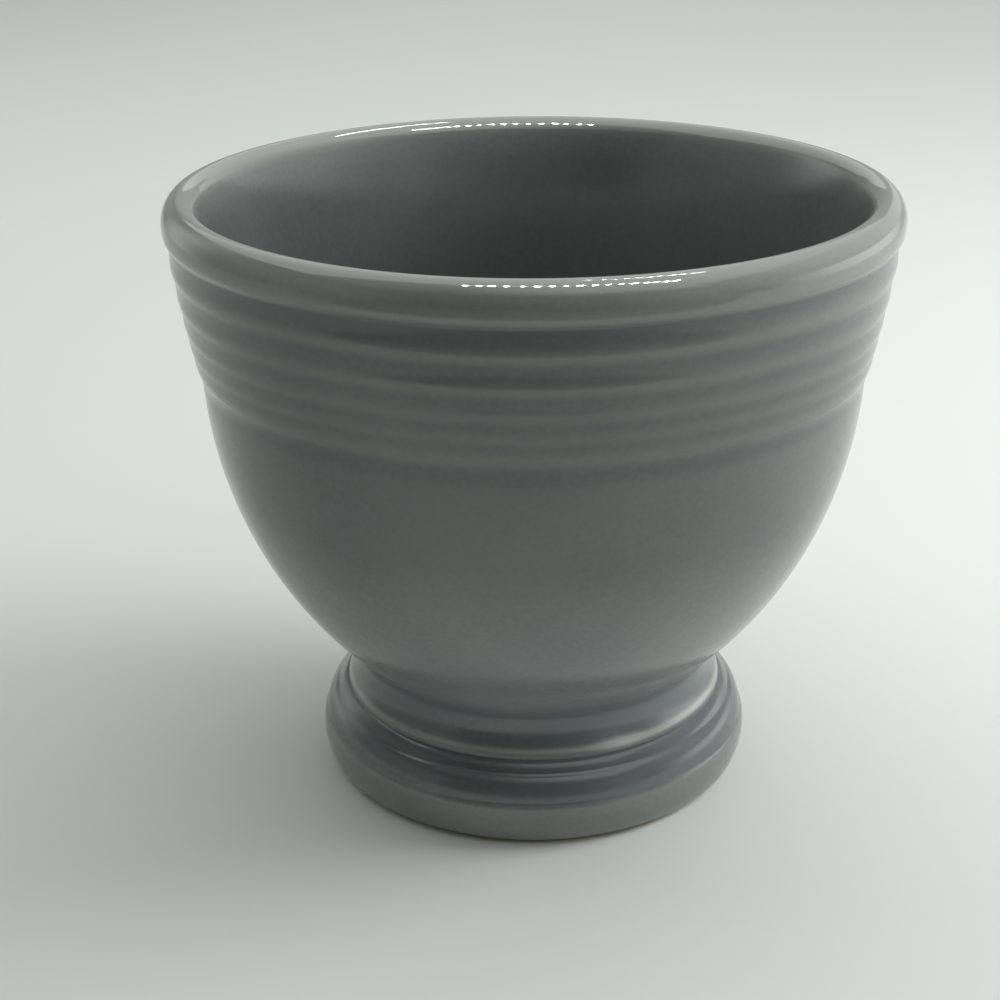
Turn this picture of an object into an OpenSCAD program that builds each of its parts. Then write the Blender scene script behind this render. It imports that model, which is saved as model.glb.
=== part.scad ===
// Footed egg cup in glazed earthenware: a round bowl with a ringed band under a
// rolled rim, on a low ringed foot that is hollow underneath.
// The origin is on the table under the middle of the foot, and +Z points up.
// Outside sizes are taken over the glaze, as callipers would measure the cup.

/* [Overall] */
// Height from the table to the top of the rim
cup_h = 73.5; // [68:0.5:84]
// Outer diameter of the rim
rim_d = 86; // [82:0.5:94]
// Outer diameter of the bowl where it comes out of the ringed band
bowl_d = 79.2; // [73:0.2:83]
// Outer diameter of the neck between the bowl and the foot
neck_d = 45.4; // [40:0.2:48]
// Outer diameter of the foot at its widest
foot_d = 54.6; // [53:0.2:62]

/* [Rim] */
// Thickness of the round lip
lip_t = 4.1; // [3.2:0.1:5]
// Depth from the top of the rim down to its widest line
lip_drop = 2.7; // [2:0.1:3.2]
// Depth of the rim, from its top to the first groove under it
rim_h = 4.8; // [4:0.1:6.4]
// How far that groove lies in from the side of the rim
rim_groove_in = 0.6; // [0.3:0.05:1]

/* [Ringed band] */
// Number of grooves, with a ring swelling out between each and the next
groove_count = 6; // [3:1:8]
// Distance from the first groove down to the second
groove_gap = 4.1; // [3:0.1:4.6]
// Each gap between grooves as a share of the gap above it
groove_gap_share = 0.83; // [0.75:0.01:0.9]
// How far the first ring swells out between its grooves
ring_swell = 0.2; // [0.1:0.02:0.4]
// Swell of each ring as a share of that of the ring above it
ring_swell_share = 0.64; // [0.5:0.02:1]
// How far the middle of the band bulges out between its highest and lowest grooves
band_bulge = 0.2; // [0:0.05:0.6]
// How far the lowest groove still stands out from the side of the bowl
band_out = 0.55; // [0.3:0.05:1.2]
// Height over which the band fades into the side of the bowl
band_fade_h = 2.4; // [1.8:0.1:5]

/* [Bowl wall] */
// Thickness of the side wall, glaze on both faces included
wall_t = 3.4; // [2.8:0.1:4.2]
// Thickness of the bowl under its flat floor, from the middle of the joint
base_t = 5.2; // [4:0.1:8]
// Radius that rounds the inside floor into the wall
floor_round_r = 14; // [8:0.5:18]
// Outward lean of the inside wall where it meets the lip, in degrees
flare_a = 17; // [6:1:24]

/* [Neck and foot] */
// Height over which the curve of the bowl straightens into the neck
neck_run_h = 4.2; // [3:0.1:6]
// Height over which the neck flares out into the top ring of the foot
neck_flare_h = 3.3; // [2.4:0.1:4.4]
// Outer diameter of the top ring of the foot
foot_top_d = 47.5; // [45:0.1:50]
// Height of the edge of that top ring above the table
foot_top_h = 11; // [9.5:0.1:13.5]
// Height of the widest line of the foot above the table
foot_lip_h = 4.2; // [3:0.1:6]
// How far the broadest ring of the foot swells out between its grooves
foot_swell = 0.45; // [0.2:0.05:0.8]
// Outer diameter of the ring that stands on the table
stand_d = 50.6; // [48:0.2:52.4]
// Diameter of the hollow under the foot where it opens
well_d = 45; // [38:0.2:46]
// Diameter of the ceiling of that hollow
well_top_d = 34; // [26:0.5:36]
// Inward lean of the wall of that hollow where it meets the ceiling, in degrees
well_lean_a = 45; // [20:1:55]

/* [Glaze and joint] */
// Thickness of the glaze where it lies thickest
glaze_t = 0.4; // [0.2:0.02:0.5]
// Thickness of the glaze over a rim, ring or edge as a share of that
edge_glaze_share = 0.5; // [0.3:0.05:1]
// Height above the table at which the glaze stops
glaze_line_h = 0.9; // [0.5:0.1:2]
// Thickness of the slip that joins the bowl to the foot
slip_t = 0.6; // [0.3:0.1:1]

/* [Hidden] */
glaze_colour = "#6b6f6c";
clay_colour = "#d9cdb8";
slip_colour = "#c9b998";
lathe_sides = 144;
// Shape of the rings: above 1, the first value moves the crown nearer to the lower
// groove, below 1 nearer to the upper one, and the second rounds the grooves
ring_shape = [1.6, 2];
foot_ring_shape = [0.7, 1];
// Above 1, the side of the rim stays upright for longer before it turns in
rim_skew = 2.2;

// Steps along each stretch of an outline
lip_steps = 10;
flank_steps = 8;
ring_steps = 8;
fade_steps = 5;
arc_steps = 20;
neck_steps = 6;
neck_flare_steps = 4;
slip_steps = 2;
under_steps = 8;
floor_steps = 8;
flare_steps = 8;
well_steps = 12;

// Grooves of the foot, from the edge of its top ring to its widest line: share of the
// way out, share of the way down, and the upward lean of the face there in degrees
foot_groove_shares = [[0, 0], [0.055, 0.11], [0.4, 0.3], [0.885, 0.76], [1, 1]];
foot_face_leans = [0, 25, 30, 0, 0];
// Swell of the face under each of those grooves as a share of foot_swell
foot_swell_shares = [0.06, 0.4, 1, 0.25];

lip_r = lip_t / 2;
rim_r = rim_d / 2;
lip_mid = [rim_r - lip_r, cup_h - lip_r];
bowl_r = bowl_d / 2;
neck_r = neck_d / 2;
foot_r = foot_d / 2;
foot_top_r = foot_top_d / 2;
stand_r = stand_d / 2;
well_r = well_d / 2;
well_top_r = well_top_d / 2;

// Heights of the grooves and the slanting, slightly bulging line that they all lie on
function gap_sum(n) = n <= 0 ? 0 : gap_sum(n - 1) + groove_gap * pow(groove_gap_share, n - 1);
function groove_z(i) = cup_h - rim_h - gap_sum(i);
band_top = [rim_r - rim_groove_in, groove_z(0)];
band_low = [bowl_r + band_out, groove_z(groove_count - 1)];
function rise_share(z) = (z - band_low.y) / (band_top.y - band_low.y);
function bulge(t) = band_bulge * sin(180 * t);
function groove_r(t) = between(band_low.x, band_top.x, t) + bulge(t);
function groove_at(i) = [groove_r(rise_share(groove_z(i))), groove_z(i)];

// The side of the bowl is one arc, upright at the lowest groove, that ends at the neck
neck_h = foot_top_h + neck_flare_h;
neck_meet_share = 0.32;
neck_top_z = neck_h + neck_run_h * neck_meet_share;
side_in = bowl_r - neck_r;
side_down = band_low.y - neck_top_z;
side_r = (side_in * side_in + side_down * side_down) / (2 * side_in);
side_mid = [bowl_r - side_r, band_low.y];
function side_angle(z) = asin((z - side_mid.y) / side_r);
side_start_a = side_angle(band_low.y - band_fade_h);
side_end_z = neck_h + neck_run_h;
side_end_a = side_angle(side_end_z);

// The joint between bowl and foot lies in the middle of the flare between them
joint_z = (neck_h + foot_top_h) / 2;
slip_half_share = slip_t / 2 / neck_flare_h;
bowl_under_z = joint_z + slip_t / 2;
foot_over_z = joint_z - slip_t / 2;

// Inside of the bowl: flat floor, rounded corner, arc with the same middle as the
// outside, and a flare up to the lip
floor_z = joint_z + base_t;
inside_r = side_r - wall_t;
corner_z = floor_z + floor_round_r;
corner_reach = inside_r - floor_round_r;
corner_drop = side_mid.y - corner_z;
corner_mid = [side_mid.x + sqrt(corner_reach * corner_reach - corner_drop * corner_drop), corner_z];
corner_a = -atan2(corner_drop, corner_mid.x - side_mid.x);

// A station of an outline is its place on the glazed surface, the direction in
// degrees in which that surface faces, and the glaze there as a share of glaze_t
function glazed(s) = [s[0], s[1]];
function bare(s) = [s[0] - glaze_t * s[3] * cos(s[2]), s[1] - glaze_t * s[3] * sin(s[2])];
function glazed_line(list) = [for (s = list) glazed(s)];
function bare_line(list) = [for (s = list) bare(s)];
function backwards(list) = [for (i = [len(list) - 1:-1:0]) list[i]];
function between(a, b, share) = a + (b - a) * share;
function edge_share(depth) = between(edge_glaze_share, 1, depth);

// Height curve that leaves a with slope lean_a and reaches b with slope lean_b
function eased(a, b, rise, lean_a, lean_b, t) =
    a * (1 - 3 * t * t + 2 * t * t * t)
    + b * (3 * t * t - 2 * t * t * t)
    + rise * lean_a * (t - 2 * t * t + t * t * t)
    + rise * lean_b * (t * t * t - t * t);

// Stations along a circle, with the first one left out
function arc(mid, radius, from_a, to_a, count, turn, share) = [
    for (i = [1:count])
        let (a = between(from_a, to_a, i / count))
        [mid.x + radius * cos(a), mid.y + radius * sin(a), a + turn, share]
];

// Height of a wave that is 0 at both ends
function wave(t, shape) = pow(sin(180 * pow(t, shape.x)), shape.y);

// Ring that swells out between the grooves a and b, its glaze thin on the crown
function ring(a, b, swell, shape, lean_a, lean_b) = [
    for (i = [1:ring_steps])
        let (t = i / ring_steps, high = wave(t, shape))
        [
            between(a.x, b.x, t) + swell * high,
            between(a.y, b.y, t),
            between(lean_a, lean_b, t),
            edge_share(1 - high)
        ]
];

// Inside of the cup, from the middle of the floor up to the crest of the lip
flare_foot = [bowl_r - wall_t, band_low.y];
flare_top = [lip_mid.x - lip_r * cos(flare_a), lip_mid.y + lip_r * sin(flare_a)];
flare_rise = flare_top.y - flare_foot.y;
inside_line = concat(
    [[0, floor_z, 90, 1], [corner_mid.x, floor_z, 90, 1]],
    arc(corner_mid, floor_round_r, -90, corner_a, floor_steps, 180, 1),
    arc(side_mid, inside_r, corner_a, 0, arc_steps, 180, 1),
    [
        for (i = [1:flare_steps])
            let (t = i / flare_steps)
            [
                eased(flare_foot.x, flare_top.x, flare_rise, 0, tan(flare_a), t),
                between(flare_foot.y, flare_top.y, t),
                between(180, 180 - flare_a, t),
                1
            ]
    ],
    lip_line(180 - flare_a, 90, lip_r)
);

// Part of the lip, drop deep, where the glaze has run thin towards the crest
function lip_line(from_a, to_a, drop) = [
    for (i = [1:lip_steps])
        let (a = between(from_a, to_a, i / lip_steps))
        [
            lip_mid.x + lip_r * cos(a),
            cup_h - drop * (1 - sin(a)),
            a,
            edge_share(1 - sin(a) * sin(a))
        ]
];

crest = [lip_mid.x, cup_h, 90, edge_share(0)];

// Side of the rim, from the widest line of the lip in to the first groove
rim_side = [
    for (i = [1:flank_steps])
        let (t = i / flank_steps)
        [
            rim_r - rim_groove_in * pow(sin(90 * pow(t, rim_skew)), 2),
            cup_h - between(lip_drop, rim_h, t),
            0,
            1
        ]
];

ring_band = [
    for (i = [0:groove_count - 2])
        each ring(groove_at(i), groove_at(i + 1), ring_swell * pow(ring_swell_share, i),
            ring_shape, 0, 0)
];

// Under the lowest groove the band fades into the arc of the bowl
band_fade = [
    for (i = [1:fade_steps])
        let (t = i / fade_steps, a = between(0, side_start_a, t))
        [
            side_mid.x + side_r * cos(a) + band_out * (1 - t) * (1 - t),
            side_mid.y + side_r * sin(a),
            a,
            1
        ]
];

// The arc runs out into the upright neck
neck_lean = -tan(side_end_a);
neck_run = [
    for (i = [1:neck_steps])
        let (t = i / neck_steps)
        [
            eased(side_mid.x + side_r * cos(side_end_a), neck_r, -neck_run_h, neck_lean, 0, t),
            side_end_z - neck_run_h * t,
            between(side_end_a, 0, t),
            1
        ]
];

// The neck flares out to the edge of the foot's top ring, where the glaze runs thin
function neck_flare(from_t, to_t, count) = [
    for (i = [1:count])
        let (t = between(from_t, to_t, i / count))
        [
            between(neck_r, foot_top_r, t * t),
            between(neck_h, foot_top_h, t),
            0,
            edge_share(1 - t * t)
        ]
];

function foot_groove(i) = [
    between(foot_top_r, foot_r, foot_groove_shares[i].x),
    between(foot_top_h, foot_lip_h, foot_groove_shares[i].y)
];

foot_rings = [
    for (i = [0:len(foot_groove_shares) - 2])
        each ring(foot_groove(i), foot_groove(i + 1), foot_swell * foot_swell_shares[i],
            foot_ring_shape, foot_face_leans[i], foot_face_leans[i + 1])
];

// The foot draws in from its widest line to the ring that stands on the table
glaze_stop_a = asin(1 - glaze_line_h / foot_lip_h);
function foot_under(from_a, to_a) = [
    for (i = [1:under_steps])
        let (a = between(from_a, to_a, i / under_steps))
        [between(stand_r, foot_r, cos(a)), foot_lip_h * (1 - sin(a)), 0, 1]
];

bowl_side = concat(
    lip_line(90, 0, lip_drop),
    rim_side,
    ring_band,
    band_fade,
    arc(side_mid, side_r, side_start_a, side_end_a, arc_steps, 0, 1),
    neck_run,
    neck_flare(0, 0.5 - slip_half_share, neck_flare_steps)
);
slip_side = neck_flare(0.5 - slip_half_share, 0.5 + slip_half_share, slip_steps);
foot_side = concat(
    neck_flare(0.5 + slip_half_share, 1, neck_flare_steps),
    foot_rings,
    foot_under(0, glaze_stop_a)
);
foot_bare_side = foot_under(glaze_stop_a, 90);

bowl_joint = bowl_side[len(bowl_side) - 1];
foot_joint = slip_side[len(slip_side) - 1];

// Wall of the hollow under the foot, from the given share of its height up to its
// top, as stations that face into the hollow
function well_wall(from_t) = [
    for (i = [0:well_steps])
        let (t = between(from_t, 1, i / well_steps))
        [
            eased(well_r, well_top_r, foot_over_z, 0, -tan(well_lean_a), t),
            foot_over_z * t,
            180 + well_lean_a * t,
            edge_glaze_share
        ]
];
// The wall is drawn on the clay, so its glaze stands inward from it
function coat(s) = [s[0] + glaze_t * s[3] * cos(s[2]), s[1] + glaze_t * s[3] * sin(s[2])];
well_glazed = well_wall(glaze_line_h / foot_over_z);
// The glaze pools in the corner under the ceiling
pool_share = 1.5;
well_pool_r = well_top_r - slip_t * pool_share;
well_ceiling_z = bowl_under_z - glaze_t * edge_glaze_share;

module lathe(outline, colour) {
    color(colour) rotate_extrude($fn = lathe_sides) polygon(outline);
}

// Bowl as it was turned, without its glaze
module bowl_body() {
    lathe(
        concat(bare_line(inside_line), bare_line(bowl_side), [[0, bowl_under_z]]),
        clay_colour
    );
}

// Ring foot, open in the middle, bare where it stands
module foot_body() {
    lathe(
        concat(
            [bare(foot_joint)],
            bare_line(foot_side),
            bare_line(foot_bare_side),
            glazed_line(well_wall(0))
        ),
        clay_colour
    );
}

// Ring of slip that sticks the bowl to the foot
module slip_joint() {
    lathe(
        concat(
            [bare(bowl_joint)],
            bare_line(slip_side),
            [[well_top_r, foot_over_z], [well_top_r, bowl_under_z]]
        ),
        slip_colour
    );
}

// Glaze poured into the bowl, up to the crest of the lip
module inside_glaze() {
    lathe(
        concat(glazed_line(inside_line), backwards(bare_line(inside_line))),
        glaze_colour
    );
}

// Glaze over the outside, from the crest of the lip to just above the table
module outside_glaze() {
    outside = concat([crest], bowl_side, slip_side, foot_side);
    lathe(
        concat(glazed_line(outside), backwards(bare_line(outside))),
        glaze_colour
    );
}

// Glaze in the hollow under the foot
module well_glaze() {
    lathe(
        concat(
            glazed_line(well_glazed),
            [[well_top_r, bowl_under_z], [0, bowl_under_z]],
            [[0, well_ceiling_z], [well_pool_r, well_ceiling_z]],
            backwards([for (s = well_glazed) coat(s)])
        ),
        glaze_colour
    );
}

bowl_body();
foot_body();
slip_joint();
inside_glaze();
outside_glaze();
well_glaze();
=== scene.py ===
# %% [markdown]
# # A footed egg cup in grey glaze
# The object is one fired piece of pottery: a round bowl with a rolled rim and a band of
# soft rings, on a low ringed foot. Almost all that shows of it is glaze. Its looks come
# from three things: a clean turned outline, a glossy glaze that runs thin over the rings
# and pools between them, and what the glaze mirrors. The lesson takes them in that order.
# First it opens the frame, the solid model that every piece here has to fit.

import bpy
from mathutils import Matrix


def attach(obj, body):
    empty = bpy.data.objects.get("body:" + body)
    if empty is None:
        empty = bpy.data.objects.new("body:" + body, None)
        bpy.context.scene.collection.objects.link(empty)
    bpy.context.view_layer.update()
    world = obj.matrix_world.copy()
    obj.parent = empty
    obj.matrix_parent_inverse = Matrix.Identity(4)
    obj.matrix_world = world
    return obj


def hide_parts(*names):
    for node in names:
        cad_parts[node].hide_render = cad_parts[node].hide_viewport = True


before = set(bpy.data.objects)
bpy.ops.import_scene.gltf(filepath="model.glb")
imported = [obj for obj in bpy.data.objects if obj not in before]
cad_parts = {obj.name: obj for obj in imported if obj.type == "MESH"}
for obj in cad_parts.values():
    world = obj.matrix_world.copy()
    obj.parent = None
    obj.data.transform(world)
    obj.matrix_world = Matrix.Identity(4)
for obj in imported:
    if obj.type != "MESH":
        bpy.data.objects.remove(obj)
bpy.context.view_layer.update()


print("pieces of the frame:", sorted(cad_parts))

# %% [markdown]
# ## Sizes of the cup
# A turned pot is described by its outline: a few heights and widths, as a potter would
# take them with callipers. They are written in millimetres here, with the same values
# as the solid model, and turned into metres only when a mesh is made. That keeps the
# numbers easy to read and the coats of glaze exactly where the solid clay is. Finer
# sizes follow where the part of the cup that they belong to is made.

# %% Heights and widths
import math

import bpy

MM = 0.001
cup_h = 73.5
rim_r = 43.0
bowl_r = 39.6
neck_r = 22.7
foot_top_r = 23.75
foot_r = 27.3
foot_top_h = 11.0
neck_flare_h = 3.3
neck_h = foot_top_h + neck_flare_h
print("rim", 2 * rim_r, "mm across, cup", cup_h, "mm high")

# %% [markdown]
# ## Small helpers
# An outline is made of arcs and eased curves, so the same few sums come back all the
# time. One helper goes a share of the way from one value to another. One gives the even
# steps along a curve, as shares that end at 1. Sine and cosine take degrees, because
# turned shapes are easier to picture in degrees.

# %% Steps and angles
def between(a, b, share):
    return a + (b - a) * share


def steps(count, first=1):
    return [i / count for i in range(first, count + 1)]


def sin_d(a):
    return math.sin(math.radians(a))


def cos_d(a):
    return math.cos(math.radians(a))


print("four steps:", steps(4))

# %% [markdown]
# ## Points of an outline
# Each point of an outline carries four values: its radius, its height, the direction in
# which the surface faces there, and how thick the glaze lies, from 0.5 over an edge to 1
# in a hollow. Radius and height make the shape. The other two make the coat, because the
# back of the glaze lies behind its face by that thickness. One helper gives such points
# along an arc, and one finds the radius on an easy S between two slopes. Many short
# steps are cheap here, and they keep the mirror images in the glaze smooth.

# %% Arcs and eased curves
glaze_t = 0.4
edge_glaze_share = 0.5


def glaze_over(depth):
    return between(edge_glaze_share, 1, depth)


def arc(mid, radius, from_a, to_a, count, turn=0.0):
    angles = [between(from_a, to_a, t) for t in steps(count)]
    return [(mid[0] + radius * cos_d(a), mid[1] + radius * sin_d(a), a + turn, 1.0) for a in angles]


def eased(a, b, rise, lean_a, lean_b, t):
    pull = 3 * t * t - 2 * t**3
    start, end = t - 2 * t * t + t**3, t**3 - t * t
    return a * (1 - pull) + b * pull + rise * (lean_a * start + lean_b * end)


print("an arc of 3 points:", [tuple(round(v, 2) for v in p) for p in arc((0, 0), 10, 0, 90, 3)])

# %% [markdown]
# ## The rolled lip
# The wall ends in a rolled lip. Its crest is round, and its outside is drawn down a
# little, so its widest line lies lower than on a plain bead. Under it the wall draws in
# to the first groove. The lip could be a torus laid on the rim, but clay has no seam
# there, so it is part of the same outline as the wall.

# %% Lip and rim
lip_r = 2.05
lip_drop = 2.7
rim_h = 4.8
rim_groove_in = 0.6
rim_skew = 2.2
lip_mid = (rim_r - lip_r, cup_h - lip_r)


def lip_line(from_a, to_a, drop):
    points = []
    for t in steps(28):
        a = between(from_a, to_a, t)
        z = cup_h - drop * (1 - sin_d(a))
        points.append((lip_mid[0] + lip_r * cos_d(a), z, a, glaze_over(1 - sin_d(a) ** 2)))
    return points


rim_side = []
for t in steps(24):
    drawn_in = rim_groove_in * sin_d(90 * t**rim_skew) ** 2
    rim_side.append((rim_r - drawn_in, between(cup_h - lip_drop, cup_h - rim_h, t), 0.0, 1.0))
print("lip", 2 * lip_r, "mm thick, first groove", rim_h, "mm under the crest")

# %% [markdown]
# ## One soft ring
# The rings on this cup are all turned in one way: between two lines the clay swells out
# and falls back. The shape has two numbers. The first moves the crest of the swell up
# or down, and the second makes it broad or narrow. Glaze runs thin over the crest, so
# the thickness falls where the swell is high.

# %% Ring between two lines
def wave(t, shape):
    crest_place, narrow = shape
    return max(0.0, sin_d(180 * t**crest_place)) ** narrow


def ring(a, b, swell, shape, lean_a=0.0, lean_b=0.0, count=24):
    points = []
    for t in steps(count):
        high = wave(t, shape)
        r, z = between(a[0], b[0], t) + swell * high, between(a[1], b[1], t)
        points.append((r, z, between(lean_a, lean_b, t), glaze_over(1 - high)))
    return points


print("swell of a plain ring:", [round(wave(t, (1, 1)), 2) for t in steps(4)])

# %% [markdown]
# ## The ringed band
# Under the rolled rim six grooves run round the cup, each closer to the next than the one
# above. Between them the clay swells out by only a fraction of a millimetre, and by less
# with every ring, so the rings show mostly by what they mirror. They could be painted
# with a bump texture, but then the outline of the cup would stay straight, and the rings
# are visible there too. So they are drawn into the outline.

# %% Grooves and rings of the band
groove_count = 6
groove_gap = 4.1
groove_gap_share = 0.83
ring_swell = 0.2
ring_swell_share = 0.64
ring_shape = (1.6, 2)
band_bulge = 0.2
band_out = 0.55

groove_z = [cup_h - rim_h]
for i in range(groove_count - 1):
    groove_z.append(groove_z[-1] - groove_gap * groove_gap_share**i)
band_top = (rim_r - rim_groove_in, groove_z[0])
band_low = (bowl_r + band_out, groove_z[-1])


def groove_at(z):
    t = (z - band_low[1]) / (band_top[1] - band_low[1])
    return (between(band_low[0], band_top[0], t) + band_bulge * sin_d(180 * t), z)


grooves = [groove_at(z) for z in groove_z]
ring_band = []
for i, (upper, lower) in enumerate(zip(grooves, grooves[1:])):
    ring_band += ring(upper, lower, ring_swell * ring_swell_share**i, ring_shape)
print("grooves at", [round(z, 1) for z in groove_z], "mm")

# %% [markdown]
# ## The side of the bowl
# From the last groove the side falls in one arc to the neck. The centre of that arc
# follows from two things that can be measured: how far the side comes in, and over what
# height. The band stands a little proud of the bowl, and that fades out over the first
# millimetres of the arc.

# %% Side of the bowl
band_fade_h = 2.4
neck_run_h = 4.2
neck_meet_share = 0.32
side_end_z = neck_h + neck_run_h
side_in = bowl_r - neck_r
side_down = band_low[1] - (neck_h + neck_run_h * neck_meet_share)
side_r = (side_in**2 + side_down**2) / (2 * side_in)
side_mid = (bowl_r - side_r, band_low[1])


def side_angle(z):
    return math.degrees(math.asin((z - side_mid[1]) / side_r))


side_start_a = side_angle(band_low[1] - band_fade_h)
side_end_a = side_angle(side_end_z)
side_line = arc(side_mid, side_r, side_start_a, side_end_a, 70)
band_fade = []
for t in steps(14):
    a = between(0, side_start_a, t)
    spare = band_out * (1 - t) ** 2
    band_fade.append((side_mid[0] + side_r * cos_d(a) + spare, side_mid[1] + side_r * sin_d(a), a, 1.0))
print("arc of the side: radius", round(side_r, 1), "mm")

# %% [markdown]
# ## The neck
# Low down the side eases out of its arc and becomes upright at the neck. Then it flares
# again, smoothly, into the thin ring at the top of the foot. Potters leave such a waist
# where a bowl and a foot made apart are joined. An eased curve that starts with the
# slope of the arc keeps the mirrored lines from breaking there.

# %% Neck and flare
neck_lean = -math.tan(math.radians(side_end_a))
neck_from_r = side_mid[0] + side_r * cos_d(side_end_a)
neck_run = []
for t in steps(16):
    r = eased(neck_from_r, neck_r, -neck_run_h, neck_lean, 0, t)
    neck_run.append((r, side_end_z - neck_run_h * t, between(side_end_a, 0, t), 1.0))

neck_flare = []
for t in steps(18):
    r = between(neck_r, foot_top_r, t * t)
    neck_flare.append((r, between(neck_h, foot_top_h, t), 0.0, glaze_over(1 - t * t)))
print("neck", 2 * neck_r, "mm across at", round(neck_h, 1), "mm")

# %% [markdown]
# ## The inside of the bowl
# The inside wall uses the same centre as the side with a smaller radius, which gives the
# even wall that a thrown or cast bowl has. A round corner leads from it into a flat
# floor, and above it the wall flares out to the lip. From the front only the upper part
# shows, but the cup is made to be looked at from any side.

# %% Inside wall and floor
wall_t = 3.4
base_t = 5.2
floor_round_r = 14.0
flare_a = 17.0
joint_z = (neck_h + foot_top_h) / 2
floor_z = joint_z + base_t
inside_r = side_r - wall_t
corner_drop = side_mid[1] - floor_z - floor_round_r
corner_x = side_mid[0] + math.sqrt((inside_r - floor_round_r) ** 2 - corner_drop**2)
corner_mid = (corner_x, floor_z + floor_round_r)
corner_a = -math.degrees(math.atan2(corner_drop, corner_x - side_mid[0]))
flare_foot = (bowl_r - wall_t, band_low[1])
flare_top = (lip_mid[0] - lip_r * cos_d(flare_a), lip_mid[1] + lip_r * sin_d(flare_a))
flare_rise = flare_top[1] - flare_foot[1]
flare_lean = math.tan(math.radians(flare_a))

floor_line = [(corner_x * t, floor_z, 90.0, 1.0) for t in steps(12, first=0)]
flare = []
for t in steps(24):
    r = eased(flare_foot[0], flare_top[0], flare_rise, 0, flare_lean, t)
    flare.append((r, between(flare_foot[1], flare_top[1], t), between(180, 180 - flare_a, t), 1.0))
inside_line = (
    floor_line
    + arc(corner_mid, floor_round_r, -90, corner_a, 20, 180)
    + arc(side_mid, inside_r, corner_a, 0, 50, 180)
    + flare
    + lip_line(180 - flare_a, 90, lip_r)
)
print(len(inside_line), "points from the floor to the crest; floor", round(floor_z, 1), "mm high")

# %% [markdown]
# ## The foot
# The foot is turned with a thin ring at its top, two soft rings below it, and a rounded
# face that draws in to the ring that stands on the table. Each could be a ring of its
# own, but the potter turns them all with one tool in one go. So they are stretches of
# one line. The lines between the rings are given as shares of the way out and of the
# way down, so they keep their look when the foot gets wider or higher.

# %% Rings of the foot
foot_lip_h = 4.2
foot_swell = 0.45
foot_ring_shape = (0.7, 1)
foot_shares = ((0, 0), (0.055, 0.11), (0.4, 0.3), (0.885, 0.76), (1, 1))
foot_leans = (0, 25, 30, 0, 0)
foot_swells = (0.06, 0.4, 1, 0.25)

foot_lines = []
for out, down in foot_shares:
    foot_lines.append((between(foot_top_r, foot_r, out), between(foot_top_h, foot_lip_h, down)))
foot_rings = []
for i, swell in enumerate(foot_swells):
    upper, lower = foot_lines[i : i + 2]
    foot_rings += ring(upper, lower, foot_swell * swell, foot_ring_shape, *foot_leans[i : i + 2], 16)
print("lines of the foot at", [round(z, 1) for r, z in foot_lines], "mm")

# %% [markdown]
# ## The outside in one line
# Under its widest line the foot rounds in to the ring that stands. The coat ends just
# above the table, where the glaze is wiped off so that the cup does not stick to the
# kiln shelf. With that last stretch the parts join into one line, from the crest of the
# lip downward. The line of the inside ends at that same crest, because there the glaze
# poured inside meets the glaze of the dip.

# %% Outline from the crest to the foot
stand_r = 25.3
glaze_line_h = 0.9
glaze_stop_a = math.degrees(math.asin(1 - glaze_line_h / foot_lip_h))
foot_under = []
for t in steps(20):
    a = between(0, glaze_stop_a, t)
    foot_under.append((between(stand_r, foot_r, cos_d(a)), foot_lip_h * (1 - sin_d(a)), 0.0, 1.0))

crest = (lip_mid[0], cup_h, 90.0, edge_glaze_share)
rim_line = [crest] + lip_line(90, 0, lip_drop) + rim_side
bowl_line = ring_band + band_fade + side_line + neck_run
foot_line = neck_flare + foot_rings + foot_under
outside_line = rim_line + bowl_line + foot_line
print(len(outside_line), "points from the crest of the rim to the foot")

# %% [markdown]
# ## A turning hand
# Turning by hand is never perfect, so the radius wavers by less than a tenth of a
# millimetre round the cup, always inward. The eye does not see that as a shape, but the
# mirrored lines stop looking ruled. The waver is a sum of waves. Each has its strength,
# how often it goes round the cup, where it starts, and how it drifts with the height.

# %% Waver of the radius
hand_waves = ((1.0, 2, 0.7, 0), (0.6, 3, 1.9, 1 / 19), (0.35, 5, 0, 1 / 7), (0.25, 8, 0, -1 / 5))
waver_deep = 0.045
steady_r = 1.0


def waver(angle, r, z):
    if r <= steady_r:
        return 0.0
    highest = sum(row[0] for row in hand_waves)
    here = 0.0
    for strong, turns, start, drift in hand_waves:
        here += strong * math.sin(turns * angle + start + drift * z)
    return waver_deep * (here - highest) / highest


print("waver at the rim:", [round(waver(k * math.pi / 2, rim_r, cup_h), 3) for k in range(4)], "mm")

# %% [markdown]
# ## How sharply the outline turns
# Wet glaze draws away from outward edges and gathers in hollows, so what matters is how
# sharply the outline turns. That is measured here: the turn at every point, spread over
# its neighbours with a soft bell, as the skin of a liquid would do. It comes out
# positive over an edge and negative in a hollow. Painting it by hand would work too, but
# measured values follow every ring when a size changes.

# %% Turn of the whole outline
turn_reach = 0.5
same_place = 1e-6


def bell(distance, width):
    return math.exp(-((distance / width) ** 2))


def heading(a, b):
    return math.atan2(b[1] - a[1], b[0] - a[0])


def outline_turn(line):
    bends = []
    for a, b, c in zip(line, line[1:], line[2:]):
        if math.dist(a[:2], b[:2]) < same_place or math.dist(b[:2], c[:2]) < same_place:
            continue
        bends.append((b[:2], -math.remainder(heading(b, c) - heading(a, b), 2 * math.pi)))
    turns = {}
    for p in line:
        near = sum(turn * bell(math.dist(p[:2], place), turn_reach * math.sqrt(2)) for place, turn in bends)
        turns[p[:2]] = near / (turn_reach * math.sqrt(2 * math.pi))
    return turns


whole_turn = outline_turn(inside_line + outside_line[1:])
print("sharpest edge and hollow:", round(max(whole_turn.values()), 2), round(min(whole_turn.values()), 2))

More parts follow.
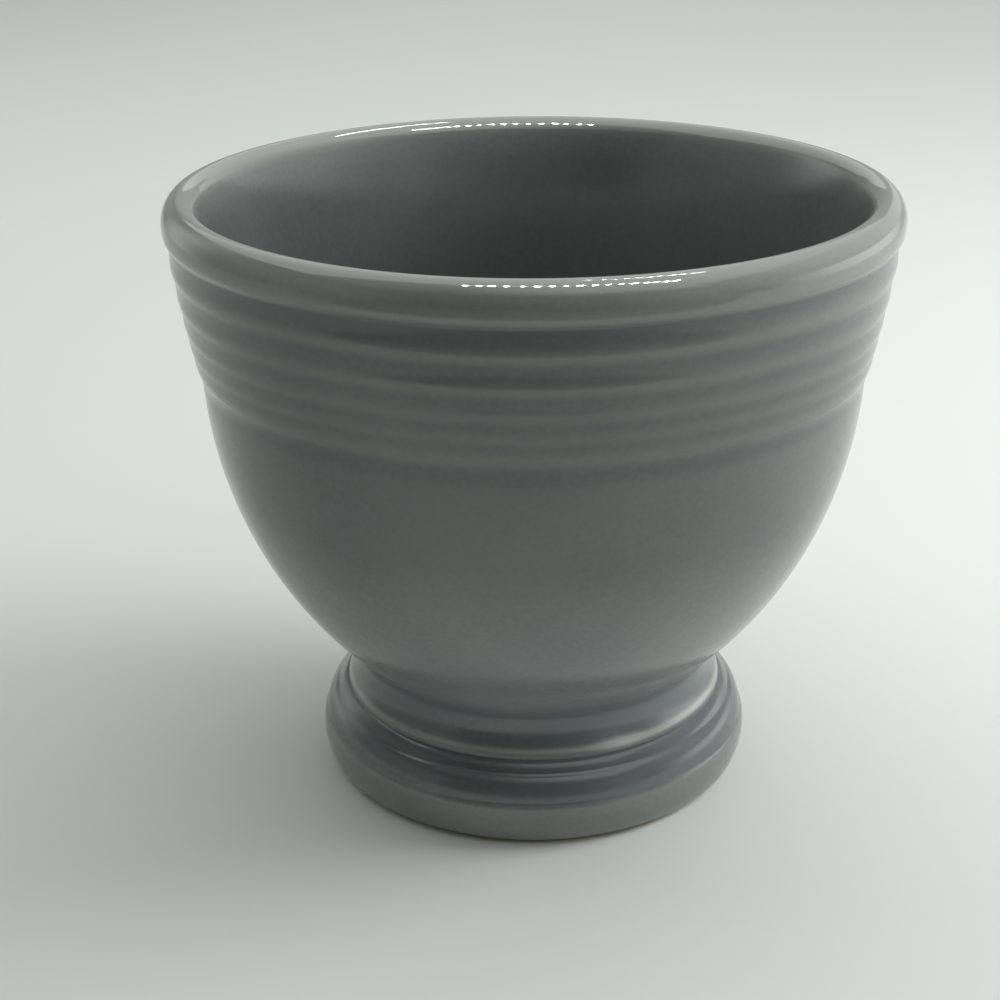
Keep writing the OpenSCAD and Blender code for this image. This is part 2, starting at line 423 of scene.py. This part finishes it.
# %% [markdown]
# ## How deep the glaze looks
# From the neck up the depth follows the measured turn, and a little glaze has gathered
# in the neck itself. On the foot the rings lie so close together that the thin edges
# are written one by one: height, width, and by how much the glaze is thinner there.
# A value below zero means that it is deeper.

# %% Depth of the glaze
plain_depth = 0.86
thinned_by_turn = 0.75
thinnest_depth = 0.5
neck_pool_h = 1.5
neck_pool_depth = 0.12
foot_depth = 0.98
foot_face_depth = 0.76
foot_face_from_h = foot_lines[3][1]
foot_face_run = 0.4
foot_edges = (
    (foot_top_h + 0.1, 0.3, 0.48),
    (foot_lines[2][1], 0.22, -0.04),
    (foot_face_from_h, 0.25, 0.06),
)


def clamp(value, low=0.0):
    return min(1.0, max(low, value))


def look_depth(point):
    z = point[1]
    if z > neck_h:
        neck_pool = neck_pool_depth * clamp(1 - (z - neck_h) / neck_pool_h) ** 2
        thinned = thinned_by_turn * whole_turn.get(point[:2], 0.0)
        return clamp(plain_depth - thinned + neck_pool, thinnest_depth)
    depth = between(foot_depth, foot_face_depth, clamp((foot_face_from_h - z) / foot_face_run))
    return depth - sum(thinner * bell(z - at, wide) for at, wide, thinner in foot_edges)


print("depth on the crest:", round(look_depth(crest), 2), "in the neck:", round(look_depth(neck_run[-1]), 2))

# %% [markdown]
# ## Painted light by height
# The colour is painted paler low down, where the bowl and the foot face the bright table
# and catch its light, and paler on the lip, which catches the light from above. A table
# of heights and tones says so, and between two rows the tone goes evenly. A tone of 1
# leaves the glaze's own colour. A texture could do it as well, but a table is easier to
# read and to change.

# %% Tone by height, painted light
# Painted light: paler low on the bowl and foot, which face the bright table, and on the lip.
PAINTED_LIGHT_TONES = (
    (0, 1.3),
    (6, 1.3),
    (7.5, 1.15),
    (10, 1.02),
    (10.8, 1.5),
    (12, 1.42),
    (14, 1.74),
    (24, 1.84),
    (33, 1.45),
    (41, 1.03),
    (50, 1.0),
    (68.5, 1.0),
    (71, 1.22),
    (80, 1.22),
)


def painted_light_tone(z):
    for (z0, tone0), (z1, tone1) in zip(PAINTED_LIGHT_TONES, PAINTED_LIGHT_TONES[1:]):
        if z <= z1:
            return between(tone0, tone1, (z - z0) / (z1 - z0))


print("tone at the lip and on the bowl:", painted_light_tone(cup_h), round(painted_light_tone(30), 2))

# %% [markdown]
# ## A painted highlight on the foot
# The top ring of the foot has a painted highlight right of the front, where the ring
# catches the light from the right, with a fainter streak beside it. There the glaze is
# made thinner and paler. It runs along the ring, so it is given as angles from the
# front, with the width and strength of each.

# %% Painted highlight on the top ring of the foot
FRONT_ANGLE = 270
# Painted highlight: the glaze is made thinner and paler in a patch on the top ring of the foot.
painted_highlight_z = foot_top_h + 0.15
painted_highlight_tall = 0.55
painted_highlight_depth = 0.45
painted_highlight_places = ((27, 8, 1.0), (55, 30, 0.4))


def painted_highlight(angle, z):
    turn_right = math.degrees(angle) - FRONT_ANGLE
    if turn_right < -180:
        turn_right += 360
    along = max(strong * bell(turn_right - at, wide) for at, wide, strong in painted_highlight_places)
    return painted_highlight_depth * bell(z - painted_highlight_z, painted_highlight_tall) * along


print("touched spot takes away", round(painted_highlight(math.radians(297), painted_highlight_z), 2), "of the depth")

# %% [markdown]
# ## Three ways to put glaze on
# The outside is dipped, and it carries the painted highlight on its foot and the painted
# light by height. The inside is poured, and it takes the painted light by height only near
# its lip. It also has painted shade: darker on the left, which the rim shades from the
# light on the right, and paler on the right, except near the lip. The hollow of the foot
# gets an even film. Each way says, for a place on the cup, how deep the glaze looks and
# how much painted light or shade lies on it.

# %% Dipped, poured and even glaze
painted_highlight_thinnest = 0.4
painted_highlight_paler = 1.1
# Painted shade inside: darker on the left, paler on the right, fading out near the lip.
painted_side_shade = 0.17
side_shade_top_h = 71
side_shade_fade_h = 6
inside_light_from_h = 60
side_shade_turn = math.radians(20)


# Outside: the painted highlight on the foot, and the painted light by height.
def dipped(angle, z, depth):
    spot = painted_highlight(angle, z)
    return max(painted_highlight_thinnest, depth - spot), painted_light_tone(z) * (1 + painted_highlight_paler * spot)


# Inside: painted shade by side, and the painted light by height only near the lip.
def poured(angle, z, depth):
    shifted = painted_side_shade * clamp((side_shade_top_h - z) / side_shade_fade_h)
    return depth, painted_light_tone(max(z, inside_light_from_h)) * (1 + shifted * math.cos(angle + side_shade_turn))


def even(angle, z, depth):
    return depth, 1.0


print("poured tone right and left:", round(poured(0, 40, 1)[1], 2), round(poured(math.pi, 40, 1)[1], 2))

# %% [markdown]
# ## From outline to mesh
# Blender can turn an outline with the Screw modifier, but the coats need a thickness that
# changes from point to point, and values on every vertex that the material can read.
# So the mesh is made in code. The outline is a closed loop, and each step round the cup
# joins its points to the next ones. Where the loop touches the axis all its copies meet
# in one vertex. The last helper welds them and gives the mesh smooth shading, with sharp
# edges only where the coat turns over to its back.

# %% Faces of a turned loop
import bmesh

ROUND = 200
WELD, ON_AXIS = 1e-7, 1e-9
SHARP_A = 50


def loop_faces(loop):
    faces = []
    n = len(loop)
    for k in range(ROUND):
        here, after = k * n, (k + 1) % ROUND * n
        for j in range(n):
            nxt = (j + 1) % n
            if max(loop[j][0], loop[nxt][0]) >= ON_AXIS:
                faces.append((here + j, after + j, after + nxt, here + nxt))
    return faces


def placed(name, data):
    made = bpy.data.objects.new(name, data)
    bpy.context.scene.collection.objects.link(made)
    return made


def close_poles(mesh):
    bm = bmesh.new()
    bm.from_mesh(mesh)
    bmesh.ops.remove_doubles(bm, verts=bm.verts, dist=WELD)
    bmesh.ops.dissolve_degenerate(bm, edges=bm.edges, dist=WELD / 10)
    bmesh.ops.recalc_face_normals(bm, faces=bm.faces)
    bm.to_mesh(mesh)
    bm.free()
    mesh.shade_smooth()
    mesh.set_sharp_from_angle(angle=math.radians(SHARP_A))


print(ROUND, "steps round the cup, one every", 360 / ROUND, "degrees")

# %% [markdown]
# ## A coat of glaze
# A coat is a thin closed shell: its face, its back, and the two edges that close it. The
# back only touches clay and is never seen, so it takes its values from the end of the
# face. Two values go onto every vertex: one says how deep the glaze looks, with the
# painted highlight on the foot in it, and the other holds the painted light and shade
# that scale its colour.

# %% Turn a coat
def turned_coat(name, face, back, way):
    loop = face + back[::-1]
    depths = [look_depth(p) for p in face]
    depths += depths[-1:] * len(back)
    places, looks = [], []
    for k in range(ROUND):
        angle = 2 * math.pi * k / ROUND
        for (r, z, facing, share), depth in zip(loop, depths):
            r += waver(angle, r, z)
            places.append((MM * r * math.cos(angle), MM * r * math.sin(angle), MM * z))
            looks.append(way(angle, z, depth))
    mesh = bpy.data.meshes.new(name)
    mesh.from_pydata(places, [], loop_faces(loop))
    for column, value in enumerate(("glaze_depth_and_highlight", "glaze_tone")):
        stored = mesh.attributes.new(value, "FLOAT", "POINT")
        stored.data.foreach_set("value", [look[column] for look in looks])
    close_poles(mesh)
    coat = placed(name, mesh)
    print(name, len(mesh.vertices), "vertices")
    return coat


print("a coat is", glaze_t, "mm thick where the glaze is full")

# %% [markdown]
# ## The outside and the inside
# The two large coats meet at the crest of the lip. Their faces are the outlines made
# above. Their backs lie behind the faces by the thickness of the glaze, and every fourth
# point is enough there.

# %% Coats outside and inside
def moved(point, side):
    r, z, facing, share = point
    off = side * glaze_t * share
    return (r + off * cos_d(facing), z + off * sin_d(facing), facing, share)


def behind(line):
    return [moved(p, -1) for p in line[:-1][::4] + line[-1:]]


outside_coat = turned_coat("outside_glaze_coat", outside_line, behind(outside_line), dipped)
inside_coat = turned_coat("inside_glaze_coat", inside_line, behind(inside_line), poured)

# %% [markdown]
# ## The glaze under the foot
# Turned over, the cup shows a hollow foot with a thin coat inside it. The wall of the
# hollow eases over into the ceiling, and the coat follows it and covers the seam where
# foot and bowl are joined with slip. It is turned in the same way. The ends of face and
# back meet the clay.

# %% Coat of the hollow foot
well_r = 22.5
well_top_r = 17.0
well_lean_a = 45.0
slip_t = 0.6
foot_over_z = joint_z - slip_t / 2
bowl_under_z = joint_z + slip_t / 2
ceiling_z = bowl_under_z - glaze_t * edge_glaze_share
pool_r = well_top_r - slip_t * 1.5
well_lean = -math.tan(math.radians(well_lean_a))


def ceiling(radius, z):
    return [(radius * t, z, -90.0, edge_glaze_share) for t in steps(20, first=0)][::-1]


well_wall = []
for s in steps(30, first=0):
    t = between(glaze_line_h / foot_over_z, 1, s)
    r = eased(well_r, well_top_r, foot_over_z, 0, well_lean, t)
    well_wall.append((r, foot_over_z * t, 180 + well_lean_a * t, edge_glaze_share))
well_face = [moved(p, 1) for p in well_wall] + ceiling(pool_r, ceiling_z)
well_coat = turned_coat("well_glaze_coat", well_face, well_wall + ceiling(well_top_r, bowl_under_z), even)
print("hollow", 2 * well_r, "mm across and", round(ceiling_z, 1), "mm deep")

# %% [markdown]
# ## Tie the coats to the frame
# Each coat stands for one node of the solid model, whose own piece is hidden, and moves
# with the only body there is.

# %% Coats in place of the glaze nodes
coats = ((outside_coat, "outside_glaze"), (inside_coat, "inside_glaze"), (well_coat, "well_glaze"))
for coat, node in coats:
    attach(coat, "root")
    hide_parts(node)
    print(coat.name, "stands for", node)

# %% [markdown]
# ## Helpers for materials
# Every finish here is a small tree of nodes: textures in, one shader, one output. The
# helpers make a node with its values set, start a material, add a texture that is fixed
# to the object, and do the two sums that come back: adding a share of one value to
# another, and stretching a range. A value that never changes goes straight onto the
# shader's own socket.

# %% Nodes, textures and sums
def node_of(tree, kind, **values):
    made = tree.nodes.new(kind)
    for key, value in values.items():
        if hasattr(made, key):
            setattr(made, key, value)
        else:
            made.inputs[key.replace("_", " ")].default_value = value
    return made


def new_material(name, kind="ShaderNodeBsdfPrincipled"):
    made = bpy.data.materials.new(name)
    made.use_nodes = True
    tree = made.node_tree
    tree.nodes.clear()
    shader = tree.nodes.new(kind)
    out = tree.nodes.new("ShaderNodeOutputMaterial")
    tree.links.new(shader.outputs[0], out.inputs["Surface"])
    return made, tree, shader


def texture(tree, kind, **values):
    place = node_of(tree, "ShaderNodeTexCoord")
    made = node_of(tree, kind, **values)
    tree.links.new(place.outputs["Object"], made.inputs["Vector"])
    return made.outputs["Fac"]


def plus(tree, value, other, share):
    made = node_of(tree, "ShaderNodeMath", operation="MULTIPLY_ADD")
    tree.links.new(other, made.inputs[0])
    made.inputs[1].default_value = share
    tree.links.new(value, made.inputs[2])
    return made.outputs[0]


def stretched(tree, value, low, high, new_low=0.0, new_high=1.0):
    made = node_of(tree, "ShaderNodeMapRange", From_Min=low, From_Max=high)
    made.inputs["To Min"].default_value = new_low
    made.inputs["To Max"].default_value = new_high
    tree.links.new(value, made.inputs["Value"])
    return made.outputs["Result"]


print("materials so far:", len(bpy.data.materials))

# %% [markdown]
# ## Colour and grain
# Two more helpers make what the eye finds first on pottery. A ramp lays colours in a row
# and picks one by a value, such as the depth of the glaze. A bump tilts the surface a
# little for the light and does not move the mesh, which is right for grain that is too
# fine to model.

# %% Ramp and bump
def ramp(tree, value, stops):
    made = tree.nodes.new("ShaderNodeValToRGB")
    band = made.color_ramp
    while len(band.elements) < len(stops):
        band.elements.new(0.5)
    for element, (place, colour) in zip(band.elements, stops):
        element.position = place
        element.color = (*colour, 1)
    tree.links.new(value, made.inputs["Fac"])
    return made.outputs["Color"]


def bump(tree, shader, height, strength, distance):
    made = node_of(tree, "ShaderNodeBump", Strength=strength, Distance=distance)
    tree.links.new(height, made.inputs["Height"])
    tree.links.new(made.outputs["Normal"], shader.inputs["Normal"])


print("ramp and bump are ready for", len(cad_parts), "pieces")

# %% [markdown]
# ## The glaze
# A gloss glaze is glass with colour in it. Where it is thin, over the rings and the rim,
# the clay comes through and the grey turns paler. Where it pools it is darker and
# cooler. The depth on the vertices, with the painted highlight on the foot in it, drives a
# colour ramp, and the painted light and shade on the vertices scale what comes out. Slow
# noise moves the ramp a little, because no dipped coat is even, and fine noise gives the
# small specks of ash and iron in it. The gloss is near a mirror where the glaze is thin
# and a little softer where it is deep, broken by a faint orange-peel bump. The
# refraction is set higher than that of window glass, because a glaze with metal oxides
# in it bends and mirrors light more strongly.

# %% Glaze material
GLAZE_COLOURS = (
    (0.12, (0.211, 0.216, 0.204)),
    (0.72, (0.127, 0.140, 0.137)),
    (0.97, (0.090, 0.105, 0.107)),
)
cloud_share, speck_share = 0.24, 0.16
ramp_low, ramp_high = 0.70, 1.20
thin_at, deep_at = 0.55, 0.9
thin_roughness = 0.03
peel_strength, peel_high = 0.05, 0.0002
glaze_refraction = 1.7


def glaze_material(name, deep_roughness):
    made, tree, shader = new_material(name)
    depth = node_of(tree, "ShaderNodeAttribute", attribute_name="glaze_depth_and_highlight").outputs["Fac"]
    # The second value on the vertices is painted light and shade, and it scales the colour.
    tone = node_of(tree, "ShaderNodeAttribute", attribute_name="glaze_tone").outputs["Fac"]
    cloud = texture(tree, "ShaderNodeTexNoise", Scale=55.0, Detail=3.0, Roughness=0.5)
    speck = texture(tree, "ShaderNodeTexNoise", Scale=1500.0, Detail=2.0, Roughness=0.6)
    peel = texture(tree, "ShaderNodeTexNoise", Scale=420.0, Detail=2.0, Roughness=0.5)
    shifted = plus(tree, plus(tree, depth, cloud, cloud_share), speck, speck_share)
    colour = ramp(tree, stretched(tree, shifted, ramp_low, ramp_high), GLAZE_COLOURS)
    toned = node_of(tree, "ShaderNodeVectorMath", operation="SCALE")
    tree.links.new(colour, toned.inputs[0])
    tree.links.new(tone, toned.inputs["Scale"])
    tree.links.new(toned.outputs["Vector"], shader.inputs["Base Color"])
    soft = stretched(tree, depth, thin_at, deep_at, thin_roughness, deep_roughness)
    tree.links.new(soft, shader.inputs["Roughness"])
    bump(tree, shader, peel, peel_strength, peel_high)
    shader.inputs["IOR"].default_value = glaze_refraction
    return made


outside_coat.data.materials.append(glaze_material("outside_grey_glaze", 0.17))
inside_coat.data.materials.append(glaze_material("inside_grey_glaze", 0.22))
well_coat.data.materials.append(glaze_material("well_grey_glaze", 0.17))
print("glazes:", [m.name for m in bpy.data.materials if m.name.endswith("glaze")])

# %% [markdown]
# ## Bare clay and slip
# The clay shows only on the ring that stands on the table, where it is wiped bare. Fired
# earthenware is matt and warm, with a fine sandy grain, darker specks, and faint rings
# from turning. The slip in the joint is the same clay thinned with water, so its grain
# is finer. Both lie on nodes of the solid model, whose mesh is left as it is: only the
# material changes.

# %% Clay materials
blotch_share, turning_share = 0.8, 0.35
grain_low, grain_high = 0.3, 0.7
smooth_clay, rough_clay = 0.72, 0.9
grit_strength, grit_high = 0.35, 0.0003


def clay_material(name, pale, dark, grain_scale):
    made, tree, shader = new_material(name)
    grain = texture(tree, "ShaderNodeTexNoise", Scale=grain_scale, Detail=6.0, Roughness=0.7)
    blotch = texture(tree, "ShaderNodeTexNoise", Scale=90.0, Detail=3.0, Roughness=0.5)
    rings = {"wave_type": "RINGS", "rings_direction": "Z", "Scale": 420.0, "Distortion": 1.5}
    turning = texture(tree, "ShaderNodeTexWave", **rings)
    middle = tuple(between(a, b, 0.6) for a, b in zip(dark, pale))
    colour = ramp(tree, plus(tree, blotch, grain, blotch_share), ((0.55, dark), (0.8, middle), (1.0, pale)))
    tree.links.new(colour, shader.inputs["Base Color"])
    bump(tree, shader, plus(tree, grain, turning, turning_share), grit_strength, grit_high)
    matt = stretched(tree, grain, grain_low, grain_high, smooth_clay, rough_clay)
    tree.links.new(matt, shader.inputs["Roughness"])
    return made


bare_clay = clay_material("bare_earthenware", (0.72, 0.64, 0.52), (0.50, 0.41, 0.30), 1400.0)
slip_clay = clay_material("fired_slip", (0.62, 0.53, 0.41), (0.44, 0.35, 0.25), 2600.0)
for node, finish in (("bowl_body", bare_clay), ("foot_body", bare_clay), ("slip_joint", slip_clay)):
    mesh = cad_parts[node].data
    mesh.materials.clear()
    mesh.materials.append(finish)
    print(node, "wears", finish.name)

# %% [markdown]
# ## The table
# A plain pale floor, far larger than the cup, so that it fills the picture. It carries
# the soft shadow. The floor is only stage: it is not part of the object. It is made with
# a helper that takes two opposite corners of a flat sheet, and the walls of the tent
# are made with it too.

# %% Floor
FLOOR_HALF = 2500


def staged(name, corners, faces):
    mesh = bpy.data.meshes.new(name)
    mesh.from_pydata([[MM * v for v in corner] for corner in corners], [], faces)
    thing = placed(name, mesh)
    return thing


def flat_sheet(name, low, high):
    flat = [a == b for a, b in zip(low, high)].index(True)
    across, along = [axis for axis in range(3) if axis != flat]
    corners = []
    for across_end, along_end in ((low, low), (high, low), (high, high), (low, high)):
        corner = list(low)
        corner[across] = across_end[across]
        corner[along] = along_end[along]
        corners.append(corner)
    return staged(name, corners, [(0, 1, 2, 3)])


def painted(name, colour, roughness, mirrors=0.5):
    made, tree, shader = new_material(name)
    shader.inputs["Base Color"].default_value = (*colour, 1)
    shader.inputs["Roughness"].default_value = roughness
    shader.inputs["Specular IOR Level"].default_value = mirrors
    return made


floor = flat_sheet("floor", (-FLOOR_HALF, -FLOOR_HALF, 0), (FLOOR_HALF, FLOOR_HALF, 0))
floor.data.materials.append(painted("white_table", (0.72, 0.747, 0.72), 0.6, 0.2))
print("floor", 2 * FLOOR_HALF * MM, "m square")

# %% [markdown]
# ## Sheets that give light
# Glossy pottery looks like whatever stands round it, so the light comes from large plain
# sheets. A real cloth wall is not equally bright all over. So a sheet has a strength and
# any number of fades: along X, Y or Z, from one place to another, it goes over smoothly
# to a share of its strength. Several fades multiply.

# %% Glowing material
WHITE_LIGHT = (0.97, 1.0, 0.98)


def glow(name, colour, strength, fades=()):
    made, tree, lamp = new_material(name, "ShaderNodeEmission")
    lamp.inputs["Color"].default_value = (*colour, 1)
    lamp.inputs["Strength"].default_value = strength
    if not fades:
        return made
    place = node_of(tree, "ShaderNodeTexCoord")
    parts = node_of(tree, "ShaderNodeSeparateXYZ")
    tree.links.new(place.outputs["Object"], parts.inputs["Vector"])
    level = None
    for axis, start, end, share in fades:
        fade = stretched(tree, parts.outputs[axis], start * MM, end * MM, 1.0, share)
        fade.node.interpolation_type = "SMOOTHSTEP"
        product = node_of(tree, "ShaderNodeMath", operation="MULTIPLY")
        product.inputs[0].default_value = strength
        if level:
            tree.links.new(level, product.inputs[0])
        tree.links.new(fade, product.inputs[1])
        level = product.outputs[0]
    tree.links.new(level, lamp.inputs["Strength"])
    return made


def hide_from(thing, *rays):
    for ray in rays:
        setattr(thing, "visible_" + ray, False)


print("light colour", WHITE_LIGHT)

# %% [markdown]
# ## A white tent to mirror
# Small pottery is often shot in a white tent. This one has a bright low wall on the
# right with a dimmer one above it, a left wall that is brightest some way behind the
# cup, and a dim back wall. They could be a picture of a studio wrapped round the scene,
# but plain sheets can be moved and dimmed one by one. They are hidden from the camera,
# so they light the cup and show in the glaze, but never stand in the picture.

# %% Tent walls
SIDE, FRONT, BACK, TOP = 420, -310, 1400, 430
SILL, BROW, HOOD, FAR = 110, 240, -60, 1000


def tent_wall(name, low, high, strength, *fades):
    wall = flat_sheet(name, low, high)
    wall.data.materials.append(glow(name + "_light", WHITE_LIGHT, strength, fades))
    hide_from(wall, "camera", "shadow")


right_low_fades = (("Y", 60, -220, 0.12), ("Y", 150, 600, 0.25))
left_fades = (("Y", 60, 300, 3.2), ("Y", 300, 650, 0.35), ("Z", 200, 330, 0.6))
tent_wall("tent_right_low", (SIDE, FRONT, 0), (SIDE, BACK, SILL), 2.0, *right_low_fades)
tent_wall("tent_right_high", (SIDE, FRONT, SILL), (SIDE, BACK, TOP), 0.8, ("Y", 60, FRONT, 0.4))
tent_wall("tent_left", (-SIDE, FRONT, 0), (-SIDE, BACK, TOP), 0.3, *left_fades)
tent_wall("tent_back", (-SIDE, BACK, 0), (SIDE, BACK, TOP), 0.35)
print("tent", 2 * SIDE, "mm wide, its front", -FRONT, "mm before the cup")

# %% [markdown]
# ## Top and front of the tent
# The top is in three parts, because each part of the rim mirrors another stretch of it.
# The far part is bright only in the middle. The hood over the front and the brow under
# it fade toward the left, so the cup's left mirrors less. Below the brow two dim sheets
# close the front. They fade to almost nothing in the middle, where the camera stands.

# %% Tent top and front
middle_bright = (("X", -120, -330, 0.3), ("X", 120, 330, 0.3))
hood_fades = (("Y", HOOD, FRONT, 0.85), ("X", 100, -180, 0.25))
brow_fades = (("Z", TOP, BROW, 0.06), ("X", 120, -220, 0.15))
tent_wall("tent_top", (-SIDE, HOOD, TOP), (SIDE, FAR, TOP), 1.38, ("Y", HOOD, 500, 0.65))
tent_wall("tent_top_far", (-SIDE, FAR, TOP), (SIDE, BACK, TOP), 1.0, *middle_bright)
tent_wall("tent_hood", (-SIDE, FRONT, TOP), (SIDE, HOOD, TOP), 1.3, *hood_fades)
tent_wall("tent_brow", (-SIDE, FRONT, BROW), (SIDE, FRONT, TOP), 1.1, *brow_fades)
tent_wall("tent_front_right", (0, FRONT, 0), (SIDE, FRONT, BROW), 0.45, ("X", SIDE, 60, 0.09))
tent_wall("tent_front_left", (-SIDE, FRONT, 0), (0, FRONT, BROW), 0.3, ("X", -SIDE, -180, 0.13))

# %% [markdown]
# ## A grey sheet in front
# The lower half of the cup mirrors the table in front of it. A grey sheet lies there, so
# that the neck and the foot have something darker to mirror. Only mirrored rays see it:
# it gives no shadow and does not darken the floor.

# %% Grey sheet
black_card = flat_sheet("black_card", (-300, FRONT, 1), (300, -145, 1))
black_card.data.materials.append(painted("black_card_paint", (0.31, 0.32, 0.31), 0.8))
hide_from(black_card, "camera", "diffuse", "shadow")
print("grey sheet, from", FRONT, "to -145 mm")

# %% [markdown]
# ## Small lamps in rows
# Two strips of small lamps hang under the top of the tent. They give the cup hardly any
# light, but the rolled rim gathers them into rows of bright dots, and that says gloss at
# once. Each strip is one mesh of small oblongs. Its numbers are the place of the first
# lamp, the gap to the next, where the strip hangs from front to back, how many lamps it
# has, and how strong they are.

# %% Lamp strips
LAMP_Z, LAMP_HALF, LAMP_LONG = 400, 2.6, 9


def lamp_strip(name, first_x, gap, y, count, strength):
    corners, faces = [], []
    for i in range(count):
        x = first_x + gap * i
        faces.append(tuple(range(len(corners), len(corners) + 4)))
        for across, along in ((-1, -1), (1, -1), (1, 1), (-1, 1)):
            corners.append((x + across * LAMP_HALF, y + along * LAMP_LONG, LAMP_Z))
    strip = staged(name, corners, faces)
    strip.data.materials.append(glow(name + "_light", (1, 1, 1), strength))
    hide_from(strip, "camera", "diffuse", "shadow")
    print(name, count, "lamps")


lamp_strip("lamp_strip_0", -74, 15.8, -75, 17, 300.0)
lamp_strip("lamp_strip_1", 39, 9, 180, 11, 60.0)

# %% [markdown]
# ## Key light
# A broad soft lamp high on the right gives the cup its lighter right side and throws
# the wide soft shadow to the left. It is hidden from mirrored rays, because the tent
# already is what the glaze mirrors.

# %% Key lamp
from mathutils import Matrix, Vector

key_place, key_target = Vector((385, 45, 283)), Vector((0, 0, 30))
key_data = bpy.data.lights.new("key_lamp", "AREA")
key_data.shape = "DISK"
key_data.size = 0.24
key_data.energy = 1.05
key_lamp = placed("key_lamp", key_data)
key_lamp.location = key_place * MM
key_lamp.rotation_mode = "QUATERNION"
key_lamp.rotation_quaternion = (key_target - key_place).to_track_quat("-Z", "Y")
hide_from(key_lamp, "camera", "glossy")
print("key lamp", key_data.energy, "W")

# %% [markdown]
# ## Surroundings beyond the tent
# The world only fills what the tent leaves open, and gives the white background of
# views that look over the edge of the floor.

# %% World
world_seen, world_light = 0.86, 0.5
world = bpy.data.worlds.new("studio")
bpy.context.scene.world = world
world.use_nodes = True
sky = world.node_tree
sky.nodes.clear()
path = node_of(sky, "ShaderNodeLightPath")
seen = node_of(sky, "ShaderNodeBackground", Strength=world_seen)
seen.inputs["Color"].default_value = (0.96, 1.0, 0.97, 1)
lit = node_of(sky, "ShaderNodeBackground", Strength=world_light)
lit.inputs["Color"].default_value = (*WHITE_LIGHT, 1)
mix = node_of(sky, "ShaderNodeMixShader")
world_out = node_of(sky, "ShaderNodeOutputWorld")
sky.links.new(path.outputs["Is Camera Ray"], mix.inputs[0])
sky.links.new(lit.outputs[0], mix.inputs[1])
sky.links.new(seen.outputs[0], mix.inputs[2])
sky.links.new(mix.outputs[0], world_out.inputs["Surface"])
bpy.context.scene.view_settings.view_transform = "Standard"
print("world", world.name, "gives light at", world_light)

# %% [markdown]
# ## The camera
# Place, tilt and focal length were found by matching the two ovals of the rim, the ring
# lines and the outline of the foot. It stands close, 21 cm in front of the cup, and looks
# down by 23 degrees, which is why the bowl seems to taper so much.

# %% Camera
FOCAL_PX, FRAME_PX, SENSOR_MM = 1796.5, 1000, 36
camera_place = Vector((0.0, -207.35, 120.47))
pitch, yaw, roll = math.radians(22.764), math.radians(-1.1396), math.radians(-0.5018)

forward = Vector((math.sin(yaw) * math.cos(pitch), math.cos(yaw) * math.cos(pitch), -math.sin(pitch)))
right = Vector((math.cos(yaw), -math.sin(yaw), 0))
up = right.cross(forward)
right, up = math.cos(roll) * right + math.sin(roll) * up, -math.sin(roll) * right + math.cos(roll) * up
camera_data = bpy.data.cameras.new("camera")
camera_data.sensor_width = SENSOR_MM
camera_data.lens = SENSOR_MM * FOCAL_PX / FRAME_PX
camera_data.clip_start = 0.01
camera = placed("camera", camera_data)
turn = Matrix((right, up, -forward)).transposed().to_4x4()
camera.matrix_world = Matrix.Translation(camera_place * MM) @ turn
bpy.context.scene.camera = camera
print("lens", round(camera_data.lens, 2), "mm")
